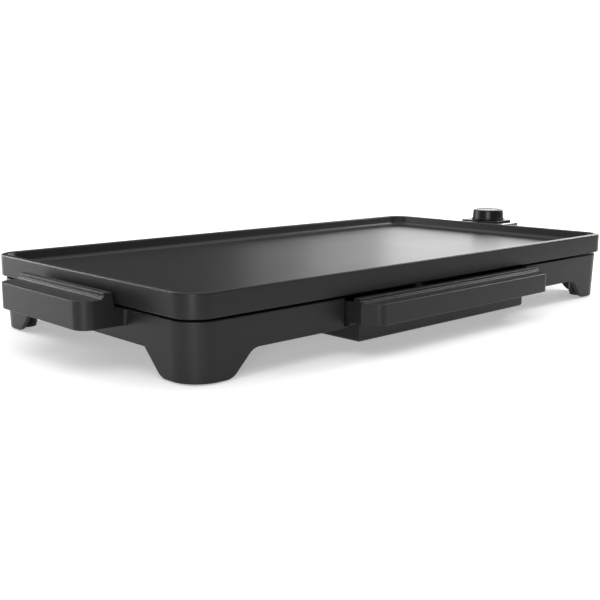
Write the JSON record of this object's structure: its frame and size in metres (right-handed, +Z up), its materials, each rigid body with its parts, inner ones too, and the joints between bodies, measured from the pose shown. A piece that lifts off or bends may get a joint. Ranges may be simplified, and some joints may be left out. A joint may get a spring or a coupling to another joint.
{
  "type": "electric griddle",
  "caption": "Rectangular electric griddle: lift-off cooking plate on a legged base with side handles, a front drip tray and a plug-in heat control with a dial.",
  "frame": {"origin": "on the table, under the middle of the overall footprint", "axes": "+Z up, +X along the long side towards the heat control, the drip tray opens towards -Y"},
  "size_m": [0.666, 0.3286, 0.0805],
  "materials": {
    "black_plastic": "satin moulded heat-resistant plastic",
    "gloss_plastic": "glossy moulded plastic",
    "knob_plastic": "satin moulded plastic",
    "coated_aluminium": "cast aluminium with a black non-stick coat",
    "sheathed_element": "dull steel sheath",
    "steel": "plain steel",
    "zinc_screws": "bright zinc plate",
    "black_screws": "blackened steel",
    "brass": "plain brass",
    "rubber": "matte rubber",
    "silicone": "matte heat-resistant silicone",
    "ceramic": "glazed ceramic",
    "phenolic": "brown-black phenolic moulding",
    "lamp_glass": "clear lamp glass",
    "red_lens": "clear red plastic"
  },
  "bodies": {
    "base": {"base_housing": "black_plastic", "rubber_feet": "rubber", "plate_rests": "silicone", "heat_reflector": "steel", "reflector_screws": "zinc_screws"},
    "plate": {"griddle_plate": "coated_aluminium", "drain_spout": "steel", "heating_element": "sheathed_element", "pin_insulators": "ceramic", "terminal_pins": "steel", "terminal_bracket": "steel", "bracket_screws": "zinc_screws", "probe_well": "steel"},
    "tray": {"drip_tray": "black_plastic", "tray_front": "black_plastic", "tray_screws": "black_screws"},
    "control": {"control_base": "black_plastic", "control_cover": "gloss_plastic", "control_screws": "zinc_screws", "dial_plate": "black_plastic", "contact_block": "phenolic", "contact_sleeves": "brass", "probe_rod": "steel", "thermostat_switch": "steel", "supply_terminals": "ceramic", "spindle_bush": "brass", "pilot_lamp": "lamp_glass", "pilot_lens": "red_lens", "cord_gland": "rubber"},
    "dial": {"dial_knob": "knob_plastic", "knob_spindle": "steel"}
  },
  "joints": [
    {"name": "plate_lift", "type": "slide", "parent": "base", "child": "plate", "axis": [0, 0, 1], "range_m": [0, 0.06]},
    {"name": "control_unplug", "type": "slide", "parent": "plate", "child": "control", "axis": [1, 0, 0], "range_m": [0, 0.075]},
    {"name": "dial_turn", "type": "hinge", "parent": "control", "child": "dial", "pos_m": [0.298, 0.04425, 0.068], "axis": [0, 0, 1], "range_deg": [-270, 0]},
    {"name": "tray_pull", "type": "slide", "parent": "base", "child": "tray", "axis": [0, -1, 0], "range_m": [0, 0.1]}
  ]
}
